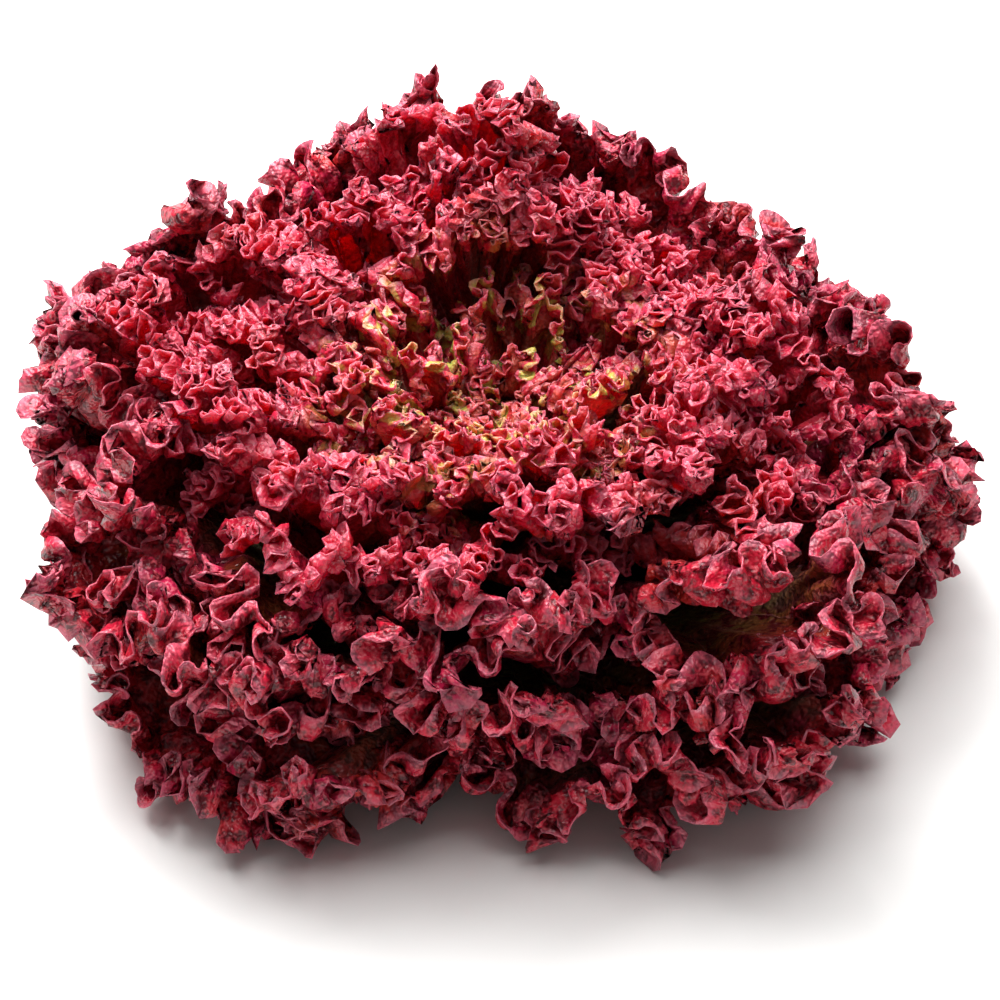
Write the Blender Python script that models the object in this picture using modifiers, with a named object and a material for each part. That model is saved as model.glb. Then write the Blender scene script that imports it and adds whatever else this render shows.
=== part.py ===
"""A head of lollo rosso lettuce, cut at the root and standing on its cut face.

The head is a short stem with whorls of leaves round it. Every leaf lies in a shell of its own: a turned sheet that
leaves the stem, rises, arches over and ends at the outside of the head. Shells never cross, and the leaves of one
whorl share their shell side by side, so the waves of a leaf's edge have room and no leaf cuts into another.
"""

import math

import bmesh
import bpy
import numpy as np

MM = 0.001

# The cut stem, which the head stands on
STEM_FOOT_RADIUS = 14.0 * MM
STEM_TOP_RADIUS = 3.6 * MM
STEM_HEIGHT = 41.0 * MM
STEM_BEVEL = 1.2 * MM
STEM_SIDES = 24

# Shells of the head, from the heart to the lowest leaves. Each is a cubic Bezier curve of (radius, height) points:
# where it leaves the stem, how it rises, how it arches, and its tip.
SHELLS = np.array((
    ((4.6, 40.0), (5.0, 50.0), (3.4, 66.0), (3.0, 79.0)),
    ((7.0, 34.0), (14.0, 50.0), (34.0, 76.0), (34.0, 98.0)),
    ((9.6, 27.0), (32.0, 42.0), (73.0, 78.0), (73.0, 106.0)),
    ((12.0, 20.5), (46.0, 29.0), (107.0, 61.0), (112.0, 94.0)),
    ((14.2, 14.5), (56.0, 17.0), (126.0, 34.0), (141.0, 61.0)),
    ((16.0, 8.5), (55.0, 8.0), (110.0, 5.0), (137.0, 7.0)),
)) * MM

# Leaves in each whorl, from the heart outwards, and the turn from one whorl to the next
WHORLS = (3, 3, 4, 4, 5, 5, 5, 5, 5, 6, 6, 6)
WHORL_TURN = math.radians(31.0)

# The leaf blade
BLADE_THICKNESS = 0.8 * MM
RIB_EXTRA = 0.8 * MM  # the base of an outermost leaf is this much thicker than its blade
PETIOLE_HALF_WIDTH = (3.5 * MM, 9.0 * MM)  # of a heart leaf, and of an outermost one
SECTOR_SHARE = 0.94  # of the angle that a leaf could take without touching its neighbour
PETIOLE_SHARE = 0.86
WIDEST_AT = 0.62  # share of the length where the blade is widest
FAN_ANGLE = math.radians(104.0)  # the edge runs this far round from the tip, to either side
FAN_SQUARENESS = 3.5  # 2 would make the fan an ellipse
LENGTH_SPREAD = 0.10
DEPTH_SPREAD = 0.12

# The waves of a leaf, as shares of the room between two shells: a slow roll, and the frill at its edge
ROLL_SHARE = 0.42
FRILL_SHARE = 0.40
FRILL_START = 0.45
LOBES = 1.65  # soft lobes along half of the edge
LOBE_DEPTH = 0.055  # share of the length
SCALLOP = 0.015
SLANT = 0.05  # one side of a leaf is longer than the other by up to twice this share
SEED = 17

# How the head departs from a turned shape: its heart leans to the front and its skirt lies to the back. Its plan is
# shallower than wide, fuller at the front corners, narrower on either side of the back, and its left side overhangs.
# The leaves at its back are taller. Angles are from the back, to the left.
LEAN = 7.0 * MM
HEART_LEAN = 16.0 * MM
SKIRT_SHIFT = 7.0 * MM
SHALLOWNESS = 0.05
FRONT_SQUARENESS = 0.02
BULGES = (
    (-0.21, math.radians(-41.0), math.radians(26.0)),
    (-0.08, math.radians(46.0), math.radians(20.0)),
    (-0.11, math.radians(108.0), math.radians(11.0)),
    (0.11, math.radians(152.0), math.radians(10.0)),
    (-0.06, math.radians(168.0), math.radians(9.0)),
    (-0.05, math.radians(-166.0), math.radians(9.0)),
    (0.10, math.radians(-146.0), math.radians(11.0)),
    (-0.05, math.radians(-127.0), math.radians(9.0)),
)
LEFT_OVERHANG = (0.06, math.radians(82.0), math.radians(20.0))
BACK_RISE = (0.27, math.radians(2.0), math.radians(25.0))
SWAY = 5.0 * MM
SWAY_LENGTH = 98.0 * MM

# Mesh: columns across a leaf at its base, and rows. The columns double at each of DOUBLINGS, and a fold of the frill
# is two of the last columns wide.
COLUMNS = 2
ROWS = (0.0, 0.26, 0.50, 0.70, 0.86, 1.0)
DOUBLINGS = (1, 2, 3)


def smoothstep(x):
    x = np.clip(x, 0.0, 1.0)
    return x * x * (3.0 - 2.0 * x)


def mix(a, b, share):
    return a + (b - a) * share


def shell_point(w, t):
    """Radius and height on shell w (0 at the heart, 1 outermost), a share t of the way from the stem to the tip."""
    keys = np.linspace(0.0, 1.0, len(SHELLS))
    coordinates = []
    for axis in (0, 1):
        p0, p1, p2, p3 = (np.interp(w, keys, SHELLS[:, k, axis]) for k in range(4))
        s = 1.0 - t
        coordinates.append(s**3 * p0 + 3 * s * s * t * p1 + 3 * s * t * t * p2 + t**3 * p3)
    return coordinates


def angle_from(angle, centre):
    """The signed angle between the two, from -pi to pi."""
    return (angle - centre + math.pi) % (2 * math.pi) - math.pi


def bell(angle, centre, width):
    """1 at the centre, and 0 far from it."""
    return np.exp(-((angle_from(angle, centre) / width) ** 2))


def head_point(angle, radius, height):
    """The place in the head of a point of the turned shells, with the head's lean, plan and sway."""
    outward = smoothstep((radius - 18 * MM) / (50 * MM))
    off_back = angle_from(angle, math.pi / 2)
    plan = 1.0 - outward * FRONT_SQUARENESS * np.cos(4 * angle) * (1.0 - np.sin(angle)) / 2
    for share, centre, width in BULGES:
        plan = plan + outward * share * bell(off_back, centre, width)
    share, centre, width = LEFT_OVERHANG
    high = smoothstep((height - 30 * MM) / (40 * MM))
    plan = plan + outward * share * bell(off_back, centre, width) * high
    off_axis = smoothstep((radius - 6 * MM) / (74 * MM)) * smoothstep((height - 35 * MM) / (60 * MM))
    share, centre, width = BACK_RISE
    rise = 1.0 + share * off_axis * bell(off_back, centre, width)
    x, z = radius * plan * np.cos(angle), height * rise
    y = radius * plan * np.sin(angle) * (1.0 - SHALLOWNESS * outward) + SKIRT_SHIFT * outward
    y = y - HEART_LEAN * smoothstep((height - 42 * MM) / (40 * MM)) * (1.0 - smoothstep(radius / (70 * MM)))
    y = y - LEAN * (np.maximum(z - 40 * MM, 0.0) / (45 * MM)) ** 2
    turns = 2 * math.pi / SWAY_LENGTH
    lifted = smoothstep(height / (45 * MM))
    sway_x = SWAY * outward * np.sin(turns * (y + 0.4 * z) + 0.6)
    sway_y = SWAY * outward * np.sin(turns * (x - 0.5 * z) + 2.1)
    sway_z = SWAY * outward * lifted * np.sin(turns * 1.15 * (0.8 * x + y) + 4.0)
    return np.stack((x + sway_x, y + sway_y, z + sway_z), axis=-1)


def leaf_shapes():
    """One dict of numbers for each leaf, from the heart outwards, with the random draws seeded."""
    draws = np.random.default_rng(SEED)
    leaves = []
    for whorl, count in enumerate(WHORLS):
        outwardness = (whorl + 0.5) / len(WHORLS)
        for k in range(count):
            room = 0.5 / len(WHORLS)
            leaves.append({
                "angle": whorl * WHORL_TURN + k * 2 * math.pi / count,
                "sector": SECTOR_SHARE * math.pi / count,
                "w": outwardness + room * DEPTH_SPREAD * draws.uniform(-1, 1),
                "room": room,
                "length": 1.0 + LENGTH_SPREAD * draws.uniform(-1, 1),
                "folds": COLUMNS * 2 ** (len(DOUBLINGS) - 1),
                "phase": draws.uniform(0, 2 * math.pi),
                "outwardness": outwardness,
            })
    return leaves


def leaf_points(leaf, u, v):
    """Points of a leaf's sheet: u runs across it from -1 to 1, and v from its base, 0, to its edge, 1."""
    phase, fold = leaf["phase"], leaf["folds"] * math.pi * (u + 1.0)
    round_edge = (u + 0.06 * (1.0 - u * u) * np.sin(4.1 * u + phase)) * FAN_ANGLE
    rounding = np.abs(np.sin(round_edge)) ** FAN_SQUARENESS + np.abs(np.cos(round_edge)) ** FAN_SQUARENESS
    squaring = rounding ** (-1 / FAN_SQUARENESS)
    edge_t = (WIDEST_AT + (1.0 - WIDEST_AT) * np.cos(round_edge) * squaring) * leaf["length"]
    lobes = LOBE_DEPTH * np.cos(2 * math.pi * LOBES * u + phase)
    slant = SLANT * u * np.sin(2.7 * phase)
    t = edge_t * v + (lobes + slant + SCALLOP * np.cos(fold * 2 / 3 + phase)) * v**4

    radius_here, _ = shell_point(leaf["w"], t)
    petiole = mix(*PETIOLE_HALF_WIDTH, leaf["outwardness"]) / leaf["sector"]
    petiole_share = u * np.minimum(petiole / np.maximum(radius_here, MM), PETIOLE_SHARE)
    fan_share = np.sin(round_edge) * squaring
    across = mix(petiole_share, fan_share, smoothstep((v - 0.12) / 0.88))

    roll = ROLL_SHARE * smoothstep(v / 0.7) * np.sin(4.4 * u + phase)
    frill = FRILL_SHARE * smoothstep((v - FRILL_START) / (1.0 - FRILL_START)) * np.cos(fold)
    frill = frill * (1.0 - 0.3 * np.sin(7.3 * u + 3 * phase) ** 2)
    radius, height = shell_point(leaf["w"] + leaf["room"] * (roll + frill), t)
    return head_point(leaf["angle"] + leaf["sector"] * across, radius, height)


def flat_leaf():
    """A grid in the (u, v) plane, with its columns doubled towards v = 1."""
    bm = bmesh.new()
    bmesh.ops.create_grid(bm, x_segments=COLUMNS, y_segments=len(ROWS) - 1, size=1.0)
    for vertex in bm.verts:
        row = round((vertex.co.y + 1.0) / 2.0 * (len(ROWS) - 1))
        vertex.co.y = ROWS[row]
    for doubling in DOUBLINGS:
        between = (ROWS[doubling - 1] + ROWS[doubling]) / 2
        crossing = [
            edge for edge in bm.edges
            if abs(edge.verts[0].co.y - edge.verts[1].co.y) < 1e-6 and edge.verts[0].co.y > between
        ]
        bmesh.ops.subdivide_edges(bm, edges=crossing, cuts=1, use_single_edge=True)
    return bm


def add_leaf(name, leaf, material, collection):
    bm = flat_leaf()
    plane = np.array([vertex.co for vertex in bm.verts])
    u, v = plane[:, 0], plane[:, 1]
    for vertex, place in zip(bm.verts, leaf_points(leaf, u, v)):
        vertex.co = place
    bmesh.ops.triangulate(bm, faces=bm.faces, quad_method="SHORT_EDGE")
    mesh = bpy.data.meshes.new(name)
    bm.to_mesh(mesh)
    bm.free()
    obj = bpy.data.objects.new(name, mesh)
    collection.objects.link(obj)

    rib = obj.vertex_groups.new(name="rib")
    thickening = (1.0 - np.abs(u) ** 2) * smoothstep(1.0 - v / 0.55)
    for index, share in enumerate(thickening):
        rib.add([index], float(share), "REPLACE")
    solidify = obj.modifiers.new("thickness", "SOLIDIFY")
    solidify.thickness = BLADE_THICKNESS + RIB_EXTRA * leaf["outwardness"]
    solidify.offset = 0.0
    solidify.vertex_group = rib.name
    solidify.thickness_vertex_group = BLADE_THICKNESS / solidify.thickness
    mesh.materials.append(material)
    mesh.shade_smooth()
    return obj


def add_stem(material, collection):
    """The stem is a turned profile, down its outer side from the top to the flat cut."""
    profile = (
        (0.0, STEM_HEIGHT),
        (STEM_TOP_RADIUS * 0.7, STEM_HEIGHT - 0.4 * MM),
        (STEM_TOP_RADIUS, STEM_HEIGHT - 2.0 * MM),
        (mix(STEM_TOP_RADIUS, STEM_FOOT_RADIUS, 0.52), STEM_HEIGHT * 0.55),
        (STEM_FOOT_RADIUS, STEM_HEIGHT * 0.16),
        (STEM_FOOT_RADIUS, STEM_BEVEL),
        (STEM_FOOT_RADIUS - STEM_BEVEL, 0.0),
        (0.0, 0.0),
    )
    mesh = bpy.data.meshes.new("stem")
    mesh.from_pydata([(r, 0.0, z) for r, z in profile], [(k, k + 1) for k in range(len(profile) - 1)], [])
    obj = bpy.data.objects.new("stem", mesh)
    collection.objects.link(obj)
    screw = obj.modifiers.new("turned", "SCREW")
    screw.steps = screw.render_steps = STEM_SIDES
    screw.use_merge_vertices = True
    screw.merge_threshold = 0.0001
    screw.use_normal_calculate = True
    mesh.materials.append(material)
    return obj


def leaf_tissue(name, colour, roughness):
    material = bpy.data.materials.new(name)
    material.use_nodes = True
    shader = material.node_tree.nodes["Principled BSDF"]
    shader.inputs["Base Color"].default_value = (*colour, 1.0)
    shader.inputs["Roughness"].default_value = roughness
    shader.inputs["Metallic"].default_value = 0.0
    return material


def main():
    for obj in list(bpy.data.objects):
        bpy.data.objects.remove(obj, do_unlink=True)
    head = bpy.data.collections.new("lollo_rosso_lettuce")
    bpy.context.scene.collection.children.link(head)
    red_leaf = leaf_tissue("red_leaf", (0.36, 0.02, 0.05), 0.45)
    pale_stem = leaf_tissue("pale_stem", (0.72, 0.74, 0.48), 0.55)
    add_stem(pale_stem, head)
    for number, leaf in enumerate(leaf_shapes(), start=1):
        add_leaf(f"leaf_{number:02d}", leaf, red_leaf, head)


main()
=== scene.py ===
# %% [markdown]
# # A head of lollo rosso lettuce
# A grown head is a short pale stem with close to sixty leaves packed round it, and nothing else. Each leaf is a
# fan whose edge has grown far longer than the fan has room for, so it buckles into waves, and each wave into
# smaller waves. The CAD model fixes where every leaf leaves the stem, how it arches and how far it reaches. Here
# each plain CAD leaf is replaced by a fine one on the same sheet, with all its waves, veins and colours.

# %% Load the CAD head
import math

import bpy
import numpy as np
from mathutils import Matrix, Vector


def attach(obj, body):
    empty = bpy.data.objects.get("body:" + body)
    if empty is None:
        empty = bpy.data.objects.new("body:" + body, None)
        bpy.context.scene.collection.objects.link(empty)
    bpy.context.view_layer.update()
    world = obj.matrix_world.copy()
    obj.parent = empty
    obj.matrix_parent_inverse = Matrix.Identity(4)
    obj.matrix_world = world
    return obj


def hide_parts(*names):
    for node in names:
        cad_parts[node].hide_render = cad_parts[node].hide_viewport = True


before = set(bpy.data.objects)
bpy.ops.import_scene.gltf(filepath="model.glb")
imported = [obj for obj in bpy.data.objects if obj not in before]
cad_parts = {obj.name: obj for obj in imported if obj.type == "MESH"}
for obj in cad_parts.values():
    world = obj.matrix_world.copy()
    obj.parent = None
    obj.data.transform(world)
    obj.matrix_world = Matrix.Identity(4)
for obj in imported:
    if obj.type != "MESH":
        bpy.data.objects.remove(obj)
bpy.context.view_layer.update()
bpy.ops.object.select_all(action="DESELECT")

# %% [markdown]
# ## Where the leaves lie
# Every leaf lies in a shell of its own, and a shell is a curve turned round the stem: it leaves the stem, rises,
# arches over and ends at the outside of the head. The numbers are the CAD model's own, so a leaf made from them
# lands exactly where its CAD leaf is. Sculpting every leaf by hand would be the other way, but then no leaf
# would know where its neighbours are, and they would cut into each other.

# %% The shells of the head
MM = 0.001
SHELLS = np.array((
    ((4.6, 40.0), (5.0, 50.0), (3.4, 66.0), (3.0, 79.0)),
    ((7.0, 34.0), (14.0, 50.0), (34.0, 76.0), (34.0, 98.0)),
    ((9.6, 27.0), (32.0, 42.0), (73.0, 78.0), (73.0, 106.0)),
    ((12.0, 20.5), (46.0, 29.0), (107.0, 61.0), (112.0, 94.0)),
    ((14.2, 14.5), (56.0, 17.0), (126.0, 34.0), (141.0, 61.0)),
    ((16.0, 8.5), (55.0, 8.0), (110.0, 5.0), (137.0, 7.0)),
)) * MM


def smoothstep(x):
    x = np.clip(x, 0.0, 1.0)
    return x * x * (3.0 - 2.0 * x)


def mix(a, b, share):
    return a + (b - a) * share


def shell_point(w, t):
    """Radius and height on shell w (0 at the heart, 1 outermost), a share t of the way from the stem to the tip."""
    keys = np.linspace(0.0, 1.0, len(SHELLS))
    s = 1.0 - t
    coordinates = []
    for axis in (0, 1):
        p0, p1, p2, p3 = (np.interp(w, keys, SHELLS[:, k, axis]) for k in range(4))
        coordinates.append(s**3 * p0 + 3 * s * s * t * p1 + 3 * s * t * t * p2 + t**3 * p3)
    return coordinates


# %% [markdown]
# No head is a perfectly turned shape. This one leans a little to the front, has hollows and corners in its plan,
# stands taller at its back, and its leaves sway. One smooth warp of space does all of it, so leaves that are clear
# of each other before the warp are still clear after it.

# %% Angles and bulges of the plan
BACK = math.pi / 2
# the share by which the plan grows or shrinks, then the centre and the width of the place where it does, both in
# degrees from the back of the head towards its left
BULGES = (
    (-0.21, -41, 26), (-0.08, 46, 20), (-0.11, 108, 11), (0.11, 152, 10),
    (-0.06, 168, 9), (-0.05, -166, 9), (0.10, -146, 11), (-0.05, -127, 9),
)
# the same for the crest, which hangs over on the left, and for the height of the back
LEFT_OVERHANG = (0.06, 82, 20)
BACK_RISE = (0.27, 2, 25)


def angle_from(angle, centre):
    return (angle - centre + math.pi) % (2 * math.pi) - math.pi


def bell(off_back, share, centre, width):
    """The share at the centre, and 0 far from it."""
    return share * np.exp(-((angle_from(off_back, math.radians(centre)) / math.radians(width)) ** 2))


# %% The lean, plan and sway of the head
SHALLOWNESS = 0.05
FRONT_SQUARENESS = 0.02
SKIRT_SHIFT = 7 * MM
HEART_LEAN = 16 * MM
LEAN = 7 * MM
SWAY = 5 * MM
SWAY_PITCH = 98 * MM


def head_point(angle, radius, height):
    """The point of a turned head at this angle, radius and height, moved to where it is on this one."""
    outward = smoothstep((radius - 18 * MM) / (50 * MM))
    off_back = angle_from(angle, BACK)
    plan = 1.0 - FRONT_SQUARENESS * outward * np.cos(4 * angle) * (1.0 - np.sin(angle)) / 2
    for bulge in BULGES:
        plan = plan + outward * bell(off_back, *bulge)
    plan = plan + outward * bell(off_back, *LEFT_OVERHANG) * smoothstep((height - 30 * MM) / (40 * MM))
    high_crest = smoothstep((radius - 6 * MM) / (74 * MM)) * smoothstep((height - 35 * MM) / (60 * MM))
    x, z = radius * plan * np.cos(angle), height * (1.0 + high_crest * bell(off_back, *BACK_RISE))
    y = radius * plan * np.sin(angle) * (1.0 - SHALLOWNESS * outward) + SKIRT_SHIFT * outward
    y = y - HEART_LEAN * smoothstep((height - 42 * MM) / (40 * MM)) * (1.0 - smoothstep(radius / (70 * MM)))
    y = y - LEAN * (np.maximum(z - 40 * MM, 0.0) / (45 * MM)) ** 2
    turns = 2 * math.pi / SWAY_PITCH
    lifted = smoothstep(height / (45 * MM))
    sway = SWAY * outward
    return np.stack((
        x + sway * np.sin(turns * (y + 0.4 * z) + 0.6),
        y + sway * np.sin(turns * (x - 0.5 * z) + 2.1),
        z + sway * lifted * np.sin(turns * 1.15 * (0.8 * x + y) + 4.0),
    ), axis=-1)


# %% [markdown]
# ## The leaves' own numbers
# The leaves stand in twelve whorls. Three whorls of small leaves make the heart, four make the crest, and the
# last five are the wide outer leaves. The heart and the crest are finely curled. The outer leaves are curled more
# loosely, and their edges rise and droop, so the whorls don't show as rows. The random draws are seeded and come
# in the CAD model's order, so every leaf keeps its own turn, length and phase.

# %% One dict of numbers for each leaf
SEED = 17
WHORLS = (3, 3, 4, 4, 5, 5, 5, 5, 5, 6, 6, 6)
WHORL_TURN = math.radians(31)
SECTOR_SHARE = 0.94
DEPTH_SPREAD = 0.12
LENGTH_SPREAD = 0.10
SIZES = {
    # columns of the mesh at the stem, waves of three orders along the edge, how uneven the edge is, and how far it
    # rises and droops
    "heart": {"columns": 8, "folds": 9, "waves": 30, "curls": 88, "ragged": 1.0, "droop": 0.0},
    "crest": {"columns": 16, "folds": 12, "waves": 58, "curls": 180, "ragged": 1.0, "droop": 0.0},
    "outer": {"columns": 12, "folds": 9, "waves": 34, "curls": 84, "ragged": 1.35, "droop": 0.5},
}


def leaf_shapes():
    draws = np.random.default_rng(SEED)
    leaves = []
    for whorl, count in enumerate(WHORLS):
        outwardness = (whorl + 0.5) / len(WHORLS)
        room = 0.5 / len(WHORLS)
        for k in range(count):
            leaves.append({
                "angle": whorl * WHORL_TURN + k * 2 * math.pi / count,
                "sector": SECTOR_SHARE * math.pi / count,
                "w": outwardness + room * DEPTH_SPREAD * draws.uniform(-1, 1),
                "room": room,
                "length": 1.0 + LENGTH_SPREAD * draws.uniform(-1, 1),
                "phase": draws.uniform(0, 2 * math.pi),
                "outwardness": outwardness,
                "size": "heart" if whorl < 3 else "crest" if whorl < 7 else "outer",
            })
    return leaves


leaves = leaf_shapes()
print("leaves:", len(leaves))

# %% [markdown]
# ## The sheet of a leaf
# A point of a leaf is (u, v): u runs across the leaf from -1 to 1, and v from its base, 0, to its edge, 1. The
# sheet narrows to a petiole at the stem and opens to a fan with lobes and a ragged edge.

# %% The fan of a leaf
FAN_ANGLE = math.radians(104)
FAN_SQUARENESS = 3.5
WIDEST_AT = 0.62
LOBE_DEPTH = 0.055
PETIOLE_HALF_WIDTH = (3.5 * MM, 9.0 * MM)
PETIOLE_SHARE = 0.86


def fan_place(leaf, u, v):
    """How far along its shell and across its sector a point of the leaf is, before it is folded."""
    size, phase = SIZES[leaf["size"]], leaf["phase"]
    fold = size["folds"] * math.pi * (u + 1.0)
    round_edge = (u + 0.06 * (1.0 - u * u) * np.sin(4.1 * u + phase)) * FAN_ANGLE
    sides = np.abs(np.sin(round_edge)) ** FAN_SQUARENESS + np.abs(np.cos(round_edge)) ** FAN_SQUARENESS
    squaring = sides ** (-1 / FAN_SQUARENESS)
    edge_t = (WIDEST_AT + (1.0 - WIDEST_AT) * np.cos(round_edge) * squaring) * leaf["length"]
    lobes = LOBE_DEPTH * np.cos(3.3 * math.pi * u + phase)
    ragged = 0.055 * np.sin(4.35 * math.pi * u + 2.3 * phase) + 0.022 * np.cos(fold * 2 / 3 + phase)
    ragged = size["ragged"] * (ragged + 0.018 * np.sin(fold * 1.41 + 2 * phase))
    slant = 0.05 * u * np.sin(2.7 * phase)
    t = edge_t * v + (lobes + ragged + slant) * v**4

    radius_here, _ = shell_point(leaf["w"], t)
    petiole = mix(*PETIOLE_HALF_WIDTH, leaf["outwardness"]) / leaf["sector"]
    petiole_share = u * np.minimum(petiole / np.maximum(radius_here, MM), PETIOLE_SHARE)
    across = mix(petiole_share, np.sin(round_edge) * squaring, smoothstep((v - 0.12) / 0.88))
    return t, across


# %% [markdown]
# The folds are the first of three orders of waves. They are made as a swing from one side of the leaf's shell to
# the other, which keeps the leaf between its neighbours. The swing wanders along the edge, because folds in step
# with each other would look pleated.

# %% A leaf's sheet with its large folds
ROLL_SHARE = 0.42
FRILL_SHARE = 1.02
FRILL_START = 0.45


def leaf_sheet(leaf, u, v):
    size, phase = SIZES[leaf["size"]], leaf["phase"]
    t, across = fan_place(leaf, u, v)
    fold = size["folds"] * math.pi * (u + 1.0)
    swing = fold + 0.9 * np.sin(3.1 * u + 2 * phase) + 0.7 * np.sin(9 * u + 5 * phase)
    swing = swing + 0.9 * np.sin(24 * v + 7 * u + phase)
    swell = smoothstep((v - FRILL_START) / (1.0 - FRILL_START))
    roll = ROLL_SHARE * smoothstep(v / 0.7) * np.sin(4.4 * u + phase)
    frill = FRILL_SHARE * swell * np.cos(swing) * (1.0 - 0.4 * np.sin(7.3 * u + 3 * phase) ** 2)
    droop = size["droop"] * smoothstep((v - 0.5) / 0.5) * np.sin(6.1 * u + 3.7 * phase)
    across = across - 0.3 / size["folds"] * swell * np.sin(2 * swing)
    radius, height = shell_point(leaf["w"] + leaf["room"] * (roll + frill + droop), t)
    return head_point(leaf["angle"] + leaf["sector"] * across, radius, height)


# %% [markdown]
# The second and third orders, the waves and the curls, ride on the first. Each is a push along the sheet's own
# normal, and a smaller push along the edge with twice the pitch, which turns a plain wave into the round loop of
# a ruffle. A Wave modifier can't do this, because the sheet under it is bent already and each order has to follow
# the one before.

# %% Waves that ride on a sheet
STEP = 0.002
EDGE_SAMPLES = 1601
EDGE_ROW = 0.97


def unit(vectors):
    return vectors / np.maximum(np.linalg.norm(vectors, axis=-1, keepdims=True), 1e-12)


def ruffled(sheet, count, start, height, loop, seed):
    """The sheet with `count` waves along its edge. They grow from v = start to the edge, to `height` metres."""
    draws = np.random.default_rng(seed)
    samples = np.linspace(-1.0, 1.0, EDGE_SAMPLES)
    edge = sheet(samples, np.full_like(samples, EDGE_ROW))
    run = np.concatenate(([0.0], np.cumsum(np.linalg.norm(np.diff(edge, axis=0), axis=1))))
    share = run / run[-1]
    bends = draws.uniform(0, 2 * math.pi, 6)
    drift = 0.9 * np.sin(9 * share + bends[0]) + 0.7 * np.sin(23 * share + bends[1])
    drift = drift + 0.5 * np.sin(51 * share + bends[2])
    phases = 2 * math.pi * count * share + drift
    strength = 1.0 + 0.28 * np.sin(count * 1.3 * share + bends[3])
    strength = strength + 0.22 * np.sin(count * 2.9 * share + bends[4])

    def place(u, v):
        across = sheet(u + STEP, v) - sheet(u - STEP, v)
        along = sheet(u, v + STEP) - sheet(u, v - STEP)
        side = unit(across)
        normal = unit(np.cross(side, along))
        phase = np.interp(u, samples, phases)
        grown = height * np.interp(u, samples, strength) * np.clip((v - start) / (1.0 - start), 0, 1.2) ** 2
        twist = phase + 1.1 * np.sin(50 * v + 9 * u + bends[5])
        out, back = grown * np.sin(twist), loop * grown * np.sin(2 * twist)
        return sheet(u, v) + normal * out[:, None] - side * back[:, None]

    return place


# %% [markdown]
# ## A flat blade for each size
# The mesh has to be fine at the edge, where the curls are, and may be coarse at the stem. So a blade starts as a
# plane grid with few columns, and its columns are doubled again and again towards the edge, by subdividing only
# the crossways edges beyond a row. One flat blade is modelled for each size of leaf, and each leaf is a copy of
# it with its own mesh.

# %% Model the three flat blades
# the rows of the grid, as v, and the rows beyond which the columns are doubled
ROWS = (0, 0.3, 0.5, 0.62, 0.71, 0.78, 0.835, 0.88, 0.92, 0.95, 0.977, 1.0)
DOUBLED_AFTER = (0, 1, 2, 3, 5, 8)


def flat_blade(size):
    bpy.ops.mesh.primitive_grid_add(x_subdivisions=SIZES[size]["columns"], y_subdivisions=len(ROWS) - 1, size=2)
    blade = bpy.context.object
    blade.name = f"flat_{size}"
    mesh = blade.data
    for vertex in mesh.vertices:
        vertex.co.y = ROWS[round((vertex.co.y + 1) / 2 * (len(ROWS) - 1))]
    for row in DOUBLED_AFTER:
        place = np.zeros(len(mesh.vertices) * 3)
        mesh.vertices.foreach_get("co", place)
        ends = np.zeros(len(mesh.edges) * 2, dtype=int)
        mesh.edges.foreach_get("vertices", ends)
        height = place.reshape(-1, 3)[ends.reshape(-1, 2), 1]
        crossing = (np.abs(height[:, 0] - height[:, 1]) < 1e-6) & (height[:, 0] > ROWS[row] + 1e-4)
        bpy.ops.object.mode_set(mode="EDIT")
        bpy.ops.mesh.select_mode(type="EDGE")
        bpy.ops.mesh.select_all(action="DESELECT")
        bpy.ops.object.mode_set(mode="OBJECT")
        mesh.edges.foreach_set("select", crossing)
        bpy.ops.object.mode_set(mode="EDIT")
        bpy.ops.mesh.subdivide(number_cuts=1)
        bpy.ops.object.mode_set(mode="OBJECT")
    print(blade.name, "has", len(mesh.vertices), "points")
    return blade


blades = {size: flat_blade(size) for size in SIZES}
bpy.ops.object.select_all(action="DESELECT")

# %% [markdown]
# ## Leaf tissue
# A lollo rosso leaf is pale green where it leaves the stem, olive further out, and red only where light reaches
# it, with the deepest red near the edge, and a lilac-pink rim that is a painted highlight. The red pigment sits in
# small spots, and the blade between the veins is blistered. All of it follows from where a point is on its blade,
# which the UV map keeps, and from noise in the piece's own space, so no picture is needed. Painting it by hand
# would be the other way, but the three sizes of leaf can share one node group and differ in a few numbers.

# %% Short words for shader nodes
def node(tree, kind, *values, **settings):
    """A new node with its settings, and its inputs linked or set in their order."""
    made = tree.nodes.new(kind)
    for name, value in settings.items():
        setattr(made, name, value)
    for socket, value in zip(made.inputs, values):
        if isinstance(value, bpy.types.NodeSocket):
            tree.links.new(value, socket)
        elif value is not None:
            socket.default_value = value
    return made


def maths(tree, operation, *values):
    return node(tree, "ShaderNodeMath", *values, operation=operation).outputs[0]


def step(tree, value, low, high):
    """0 below low, 1 above high, and smooth between."""
    made = node(tree, "ShaderNodeMapRange", value, low, high, 0.0, 1.0, interpolation_type="SMOOTHSTEP")
    return made.outputs[0]


def blend(tree, share, first, second):
    made = node(tree, "ShaderNodeMix", data_type="RGBA")
    for socket, value in ((made.inputs[0], share), (made.inputs[6], first), (made.inputs[7], second)):
        if isinstance(value, bpy.types.NodeSocket):
            tree.links.new(value, socket)
        else:
            socket.default_value = value
    return made.outputs[2]


def ramp(tree, value, stops):
    made = node(tree, "ShaderNodeValToRGB", value)
    elements = made.color_ramp.elements
    while len(elements) < len(stops):
        elements.new(0.5)
    for element, (place, colour) in zip(elements, stops):
        element.position, element.color = place, (*colour, 1.0)
    return made.outputs[0]


def noise(tree, where, scale, detail, roughness=0.5):
    """Noise with `scale` bumps to a metre, as a value round a half."""
    made = node(tree, "ShaderNodeTexNoise", where, None, scale, detail, roughness)
    return made.outputs[0]


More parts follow.
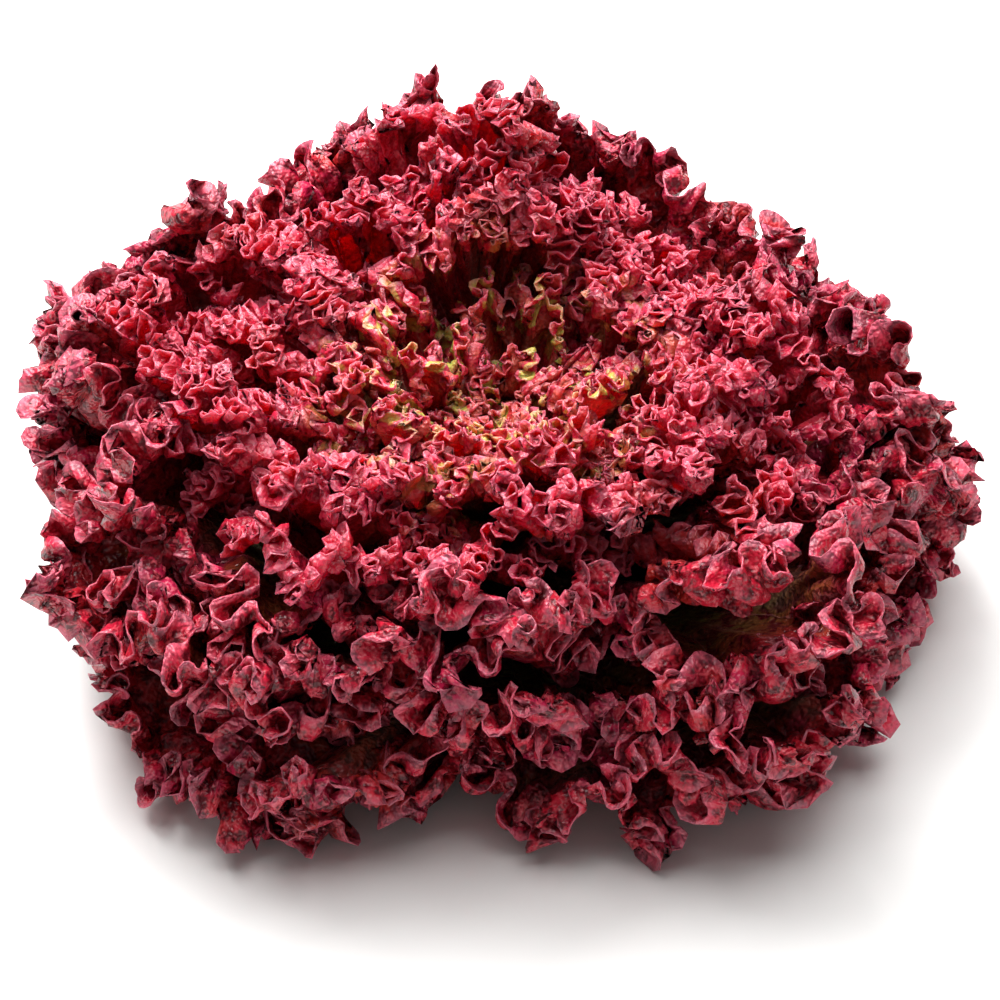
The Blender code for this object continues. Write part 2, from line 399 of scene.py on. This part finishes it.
# %% [markdown]
# The red is laid over the green by one ramp, from the base of a leaf to its edge. The border between two colours
# wanders, because the pigment sits in spots, and broad patches of the head are bronze, orange-red or purple. The
# purple keeps off the green base, as the pigment does.

# %% The colours from base to edge
def flesh(tree, here, along, spots, green, depth):
    wander = maths(tree, "MULTIPLY_ADD", spots, 0.14, -0.07)
    reach = maths(tree, "SUBTRACT", maths(tree, "ADD", along, wander), green)
    colour = ramp(tree, reach, (
        (0.00, (0.62, 0.66, 0.36)), (0.40, (0.34, 0.36, 0.08)), (0.62, (0.17, 0.09, 0.025)),
        (0.76, (0.30, 0.010, 0.014)), (0.90, (0.48, 0.009, 0.024)), (1.00, (0.60, 0.015, 0.048)),
    ))
    wide = noise(tree, here, 19, 1)
    bronze = maths(tree, "MULTIPLY", step(tree, wide, 0.58, 0.68), step(tree, along, 0.98, 0.86))
    colour = blend(tree, maths(tree, "MULTIPLY", bronze, 0.6), colour, (0.24, 0.11, 0.03, 1))
    orange = maths(tree, "MULTIPLY", step(tree, wide, 0.44, 0.34), 0.5)
    colour = blend(tree, orange, colour, (0.52, 0.05, 0.02, 1))
    purple = step(tree, noise(tree, here, 52, 1), 0.50, 0.64)
    purple = maths(tree, "MULTIPLY", purple, step(tree, along, 0.40, 0.75))
    purple = maths(tree, "MULTIPLY", purple, maths(tree, "MULTIPLY_ADD", depth, 0.5, 0.18))
    return blend(tree, purple, colour, (0.36, 0.010, 0.075, 1))


# %% [markdown]
# Over that lie spots of near-black red, partly pigment and partly painted shade, strongest on the outer leaves,
# and light grains towards the edge, which are painted highlights. Green, yellow and salmon show only on the
# youngest leaves, so their mask fades with the distance from the middle of the heart.

# %% Spots with painted shade, painted highlight grains and the green of the heart
HEART_MIDDLE = (0.0, -22 * MM, 83 * MM)


def spots_shade_and_highlights(tree, here, along, colour, spots, grains, depth):
    # painted shade: near-black red spots, partly pigment and partly shade painted between the curls, deepest on the
    # outer leaves
    dark_spots_and_shade = maths(tree, "MULTIPLY", step(tree, spots, 0.55, 0.40), maths(tree, "ADD", depth, 0.25))
    dark_spots_and_shade = maths(tree, "MULTIPLY", dark_spots_and_shade, step(tree, along, 0.30, 0.65))
    colour = blend(tree, dark_spots_and_shade, colour, (0.11, 0.004, 0.010, 1))
    # painted highlight: light grains towards the edge stand for glints on the crests of the curls
    painted_highlight_grains = maths(tree, "MULTIPLY", step(tree, grains, 0.50, 0.66), step(tree, along, 0.70, 0.98))
    return blend(tree, maths(tree, "MULTIPLY", painted_highlight_grains, 0.5), colour, (0.74, 0.12, 0.15, 1))


def greened(tree, here, along, colour, patches, heart):
    far = node(tree, "ShaderNodeVectorMath", here, HEART_MIDDLE, operation="DISTANCE").outputs["Value"]
    young = maths(tree, "MULTIPLY", step(tree, far, 66 * MM, 34 * MM), heart)
    young = maths(tree, "MULTIPLY", step(tree, along, 0.62, 0.90), young)
    yellow = maths(tree, "MULTIPLY", step(tree, patches, 0.55, 0.61), young)
    salmon = maths(tree, "MULTIPLY", step(tree, patches, 0.48, 0.40), young)
    colour = blend(tree, yellow, colour, (0.58, 0.52, 0.10, 1))
    return blend(tree, maths(tree, "MULTIPLY", salmon, 0.7), colour, (0.66, 0.16, 0.10, 1))


# %% [markdown]
# The group puts these together. The midrib is pale and fades out on its way to the edge. The veins are a comb of
# fine lines, paler than the blade, and both stand up in the bump. The rim, the bare edge of the blade, is painted
# a light lilac-pink as a painted highlight, where light catches the edge.

# %% The node group of the tissue
def tissue_group():
    tree = bpy.data.node_groups.new("lollo_tissue", "ShaderNodeTree")
    for name, default in (("Green", 0.0), ("Heart", 0.0), ("Depth", 0.5)):
        socket = tree.interface.new_socket(name, in_out="INPUT", socket_type="NodeSocketFloat")
        socket.default_value = default
    for name, kind in (("Color", "Color"), ("Roughness", "Float"), ("Normal", "Vector")):
        tree.interface.new_socket(name, in_out="OUTPUT", socket_type=f"NodeSocket{kind}")
    given, result = tree.nodes.new("NodeGroupInput"), tree.nodes.new("NodeGroupOutput")
    green, heart, depth = (given.outputs[name] for name in ("Green", "Heart", "Depth"))
    blade = node(tree, "ShaderNodeUVMap", uv_map="blade").outputs[0]
    across, along = node(tree, "ShaderNodeSeparateXYZ", blade).outputs[:2]
    here = tree.nodes.new("ShaderNodeTexCoord").outputs["Object"]

    spots = noise(tree, here, 240, 2, 0.6)
    grains = noise(tree, here, 620, 1, 0.6)
    patches = noise(tree, here, 130, 1, 0.6)
    colour = flesh(tree, here, along, spots, green, depth)
    colour = spots_shade_and_highlights(tree, here, along, colour, spots, grains, depth)
    colour = greened(tree, here, along, colour, patches, heart)

    comb = maths(tree, "MULTIPLY_ADD", patches, 0.5, maths(tree, "MULTIPLY", across, 15.0))
    ridge = maths(tree, "PINGPONG", comb, 0.5)
    vein = maths(tree, "MULTIPLY", step(tree, ridge, 0.06, 0.0), step(tree, along, 0.97, 0.80))
    colour = blend(tree, maths(tree, "MULTIPLY", vein, 0.4), colour, (0.60, 0.20, 0.22, 1))
    off_middle = maths(tree, "ABSOLUTE", maths(tree, "SUBTRACT", across, 0.5))
    midrib = maths(tree, "MULTIPLY", step(tree, off_middle, 0.05, 0.01), step(tree, along, 0.90, 0.15))
    colour = blend(tree, midrib, colour, (0.66, 0.68, 0.44, 1))
    # painted highlight: the bare rim of the blade is lightened to lilac-pink where light catches the edge
    rim_highlight = maths(tree, "MULTIPLY", step(tree, along, 0.985, 1.0), 0.45)
    colour = blend(tree, rim_highlight, colour, (0.72, 0.18, 0.26, 1))

    ribs = maths(tree, "MULTIPLY_ADD", vein, 0.2, midrib)
    blisters = maths(tree, "ADD", ribs, noise(tree, here, 480, 1, 0.55))
    bump = node(tree, "ShaderNodeBump", 1.0, 1.7 * MM)
    tree.links.new(blisters, bump.inputs["Height"])
    tree.links.new(colour, result.inputs["Color"])
    tree.links.new(maths(tree, "MULTIPLY_ADD", grains, 0.24, 0.20), result.inputs["Roughness"])
    tree.links.new(bump.outputs[0], result.inputs["Normal"])
    print("tissue group has", len(tree.nodes), "nodes")
    return tree


tissue = tissue_group()

# %% [markdown]
# Each size of leaf has a material of its own round the group. The green reaches least far out on the inner leaves,
# which stand in the light, and the dark spots, partly pigment and partly painted shade, are deepest on the old
# outer ones. Light also passes through the thin young blades and comes out red, which lifts the shadows between
# them, so they have some subsurface.

# %% Three materials of the one tissue
TISSUES = {
    # how much further out the green reaches, yellow and salmon patches, depth of the dark spots and painted shade,
    # subsurface
    "heart": (-0.12, 0.85, 0.05, 0.3),
    "crest": (-0.10, 0.75, 0.10, 0.3),
    "outer": (0.02, 0.00, 0.75, 0.0),
}


def leaf_material(size):
    material = bpy.data.materials.new(f"{size}_leaf")
    material.use_nodes = True
    tree = material.node_tree
    shader = tree.nodes["Principled BSDF"]
    look = tree.nodes.new("ShaderNodeGroup")
    look.node_tree = tissue
    *values, subsurface = TISSUES[size]
    for socket, value in zip(look.inputs, values):
        socket.default_value = value
    for name in ("Roughness", "Normal"):
        tree.links.new(look.outputs[name], shader.inputs[name])
    tree.links.new(look.outputs["Color"], shader.inputs["Base Color"])
    shader.inputs["Specular IOR Level"].default_value = 0.42
    shader.inputs["Subsurface Weight"].default_value = subsurface
    shader.inputs["Subsurface Radius"].default_value = (1.0, 0.12, 0.14)
    shader.inputs["Subsurface Scale"].default_value = 4 * MM
    return material


tissues = {size: leaf_material(size) for size in SIZES}
print("materials:", sorted(material.name for material in tissues.values()))

# %% [markdown]
# ## Growing the leaves
# Now each flat blade is bent onto its leaf's sheet. Waves ride on the folds and curls ride on the waves, each
# order finer, lower and nearer to the edge than the one before. Last comes a slight crinkle, a nudge of a fraction
# of a millimetre for every point, because tissue that buckles is never smooth. The piece then gets its thickness
# with Solidify, half to each side of the sheet. A cloth simulation could buckle the edges as well, but not to the
# same shape in every run.

# %% Bend every leaf into its place
BLADE_THICKNESS = 0.45 * MM
LOWEST = 0.8 * MM
CURLS = {
    # v where the waves begin and their height, the same for the curls, and the crinkle
    "heart": ((0.50, 2.2 * MM), (0.84, 0.9 * MM), 0.20 * MM),
    "crest": ((0.66, 3.8 * MM), (0.88, 1.3 * MM), 0.24 * MM),
    "outer": ((0.68, 5.8 * MM), (0.86, 1.9 * MM), 0.15 * MM),
}


def blade_copy(name, size):
    """A copy of a flat blade with its own mesh, and with each point's (u, v) kept in its UV map."""
    piece = blades[size].copy()
    piece.data = blades[size].data.copy()
    piece.name = piece.data.name = name
    bpy.context.scene.collection.objects.link(piece)
    mesh = piece.data
    plane = np.zeros(len(mesh.vertices) * 3)
    mesh.vertices.foreach_get("co", plane)
    u, v = plane.reshape(-1, 3)[:, :2].T
    corner = np.zeros(len(mesh.loops), dtype=int)
    mesh.loops.foreach_get("vertex_index", corner)
    uv = mesh.uv_layers.active or mesh.uv_layers.new()
    uv.name = "blade"
    uv.data.foreach_set("uv", np.stack(((u[corner] + 1) / 2, v[corner]), axis=-1).ravel())
    return piece, u, v


def grow_leaf(number, leaf):
    name, size = f"leaf_{number:02d}", SIZES[leaf["size"]]
    piece, u, v = blade_copy(f"{name}_frilled", leaf["size"])
    mesh = piece.data
    (wave_start, wave_height), (curl_start, curl_height), crinkle = CURLS[leaf["size"]]

    def sheet(a, b):
        return leaf_sheet(leaf, a, b)

    waved = ruffled(sheet, size["waves"], wave_start, wave_height, 0.35, 100 + number)
    curled = ruffled(waved, size["curls"], curl_start, curl_height, 0.3, 200 + number)
    nudges = np.random.default_rng(300 + number).uniform(-1.0, 1.0, (len(u), 3))
    place = curled(u, v) + crinkle * smoothstep((v - 0.5) / 0.4)[:, None] * nudges
    place[:, 2] = np.maximum(place[:, 2], LOWEST)
    mesh.vertices.foreach_set("co", place.ravel())
    mesh.update()
    mesh.shade_smooth()
    thickness = piece.modifiers.new("blade", "SOLIDIFY")
    thickness.thickness = BLADE_THICKNESS
    thickness.offset = 0.0
    bpy.context.view_layer.objects.active = piece
    bpy.ops.object.modifier_apply(modifier=thickness.name)
    mesh.materials.append(tissues[leaf["size"]])
    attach(piece, "root")
    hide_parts(name)
    return piece


grown = [grow_leaf(number, leaf) for number, leaf in enumerate(leaves, start=1)]
for blade in blades.values():
    bpy.data.objects.remove(blade)
triangles = sum(sum(len(p.vertices) - 2 for p in piece.data.polygons) for piece in grown)
print("triangles:", triangles)

# %% [markdown]
# ## The cut stem
# The stem is a stout cone of pale tissue that carries every leaf and ends in a knife cut. It is turned from a
# profile, like a lathe piece, and the ridges down its side are where the leaves' own midribs run into it. The cut
# shows pith inside a darker ring of vessels, and has gone rusty in places, as lettuce does within the hour.

# %% Model the stem
# radius and height, in mm, from the tip inside the head down to the middle of the cut
STEM_PROFILE = np.array((
    (0.0, 41.0), (1.8, 40.9), (3.0, 40.0), (3.6, 38.6), (6.0, 31.5), (8.8, 22.8), (11.6, 14.5), (13.6, 8.5),
    (14.0, 6.4), (14.0, 3.0), (13.9, 1.2), (13.4, 0.4), (12.6, 0.0), (10.6, 0.0), (10.0, 0.2), (9.2, 0.2),
    (8.6, 0.0), (5.0, 0.1), (0.0, 0.2),
)) * MM


def stem_tissue():
    material = bpy.data.materials.new("stem_tissue")
    material.use_nodes = True
    tree = material.node_tree
    shader = tree.nodes["Principled BSDF"]
    here = tree.nodes.new("ShaderNodeTexCoord").outputs["Object"]
    flat = node(tree, "ShaderNodeVectorMath", here, (1.0, 1.0, 0.0), operation="MULTIPLY").outputs[0]
    from_axis = node(tree, "ShaderNodeVectorMath", flat, operation="LENGTH").outputs["Value"]
    rings = ramp(tree, maths(tree, "MULTIPLY", from_axis, 1 / (14 * MM)), (
        (0.00, (0.78, 0.80, 0.58)), (0.58, (0.74, 0.77, 0.50)), (0.66, (0.46, 0.52, 0.22)),
        (0.74, (0.70, 0.74, 0.44)), (0.95, (0.60, 0.66, 0.34)), (1.00, (0.66, 0.70, 0.42)),
    ))
    height = node(tree, "ShaderNodeSeparateXYZ", here).outputs[2]
    side = step(tree, height, 1 * MM, 5 * MM)
    colour = blend(tree, side, rings, (0.66, 0.71, 0.44, 1))
    rust = step(tree, noise(tree, here, 170, 3, 0.6), 0.52, 0.66)
    rust = maths(tree, "MULTIPLY", rust, maths(tree, "SUBTRACT", 0.8, side))
    colour = blend(tree, rust, colour, (0.42, 0.17, 0.06, 1))
    tree.links.new(colour, shader.inputs["Base Color"])
    shader.inputs["Roughness"].default_value = 0.42
    bump = node(tree, "ShaderNodeBump", 0.5, 0.6 * MM)
    tree.links.new(noise(tree, here, 420, 3), bump.inputs["Height"])
    tree.links.new(bump.outputs[0], shader.inputs["Normal"])
    return material


def turn_stem():
    bpy.ops.mesh.primitive_grid_add(x_subdivisions=96, y_subdivisions=len(STEM_PROFILE) - 1, size=2)
    stem = bpy.context.object
    stem.name = stem.data.name = "stem_cut"
    mesh = stem.data
    place = np.zeros(len(mesh.vertices) * 3)
    mesh.vertices.foreach_get("co", place)
    angle = place.reshape(-1, 3)[:, 0] * math.pi
    row = np.round((1 - place.reshape(-1, 3)[:, 1]) / 2 * (len(STEM_PROFILE) - 1)).astype(int)
    radius, height = STEM_PROFILE[row].T
    ridges = 0.035 * np.abs(np.sin(2.5 * angle)) * smoothstep((height - 4 * MM) / (12 * MM))
    radius = radius * (1.0 - ridges)
    turned = np.stack((radius * np.cos(angle), radius * np.sin(angle), height), axis=-1)
    mesh.vertices.foreach_set("co", turned.ravel())
    bpy.ops.object.mode_set(mode="EDIT")
    bpy.ops.mesh.select_all(action="SELECT")
    bpy.ops.mesh.remove_doubles(threshold=0.01 * MM)
    bpy.ops.mesh.normals_make_consistent(inside=False)
    bpy.ops.object.mode_set(mode="OBJECT")
    bpy.ops.object.shade_smooth()
    mesh.materials.append(stem_tissue())
    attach(stem, "root")
    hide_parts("stem")
    return stem


stem = turn_stem()
print("stem:", len(stem.data.polygons), "faces")

# %% [markdown]
# ## Floor, light and camera
# The head lies on a plain pale floor, with nothing else round it. Most of the light comes from a wide soft light
# overhead, and a smaller one behind it to the left models the curls, as in the photograph, where the front of the
# head is in shade. The camera looks down at 42 degrees through a long lens, which keeps the perspective weak.

# %% The floor
bpy.ops.mesh.primitive_plane_add(size=6)
floor = bpy.context.object
floor.name = "floor"
paper = bpy.data.materials.new("pale_paper")
paper.use_nodes = True
paper_shader = paper.node_tree.nodes["Principled BSDF"]
paper_shader.inputs["Base Color"].default_value = (0.86, 0.86, 0.845, 1)
paper_shader.inputs["Roughness"].default_value = 0.9
floor.data.materials.append(paper)

# %% The lights
HEAD_MIDDLE = Vector((0, 0, 60 * MM))
scene = bpy.context.scene
scene.view_settings.view_transform = "Standard"
world = bpy.data.worlds.new("studio")
scene.world = world
world.use_nodes = True
world.node_tree.nodes["Background"].inputs["Color"].default_value = (1, 1, 1, 1)
world.node_tree.nodes["Background"].inputs["Strength"].default_value = 0.20


def turn_to(thing, target):
    """Turns a light or a camera, which look along their own -Z, to a point."""
    thing.rotation_mode = "QUATERNION"
    thing.rotation_quaternion = (target - thing.location).to_track_quat("-Z", "Y")


def softbox(name, place, size, power):
    """A square light of `size` metres, turned to the middle of the head."""
    bpy.ops.object.light_add(type="AREA", location=place)
    light = bpy.context.object
    light.name = name
    light.data.size = size
    light.data.energy = power
    turn_to(light, HEAD_MIDDLE)
    print(name, "gives", power, "W")


softbox("high_softbox", (-0.36, 0.60, 1.00), 0.8, 25)
softbox("sky_softbox", (0.0, 0.32, 1.45), 1.6, 35)

# %% The camera
ELEVATION = math.radians(42)
DISTANCE = 0.735
AIM = Vector((0.0033, -0.005, 0.034))
camera = bpy.data.objects.new("camera", bpy.data.cameras.new("camera"))
scene.collection.objects.link(camera)
scene.camera = camera
camera.data.lens = 85
camera.data.sensor_width = 36
camera.location = AIM + Vector((0, -math.cos(ELEVATION), math.sin(ELEVATION))) * DISTANCE
turn_to(camera, AIM)
print("camera at", [round(x, 3) for x in camera.location])
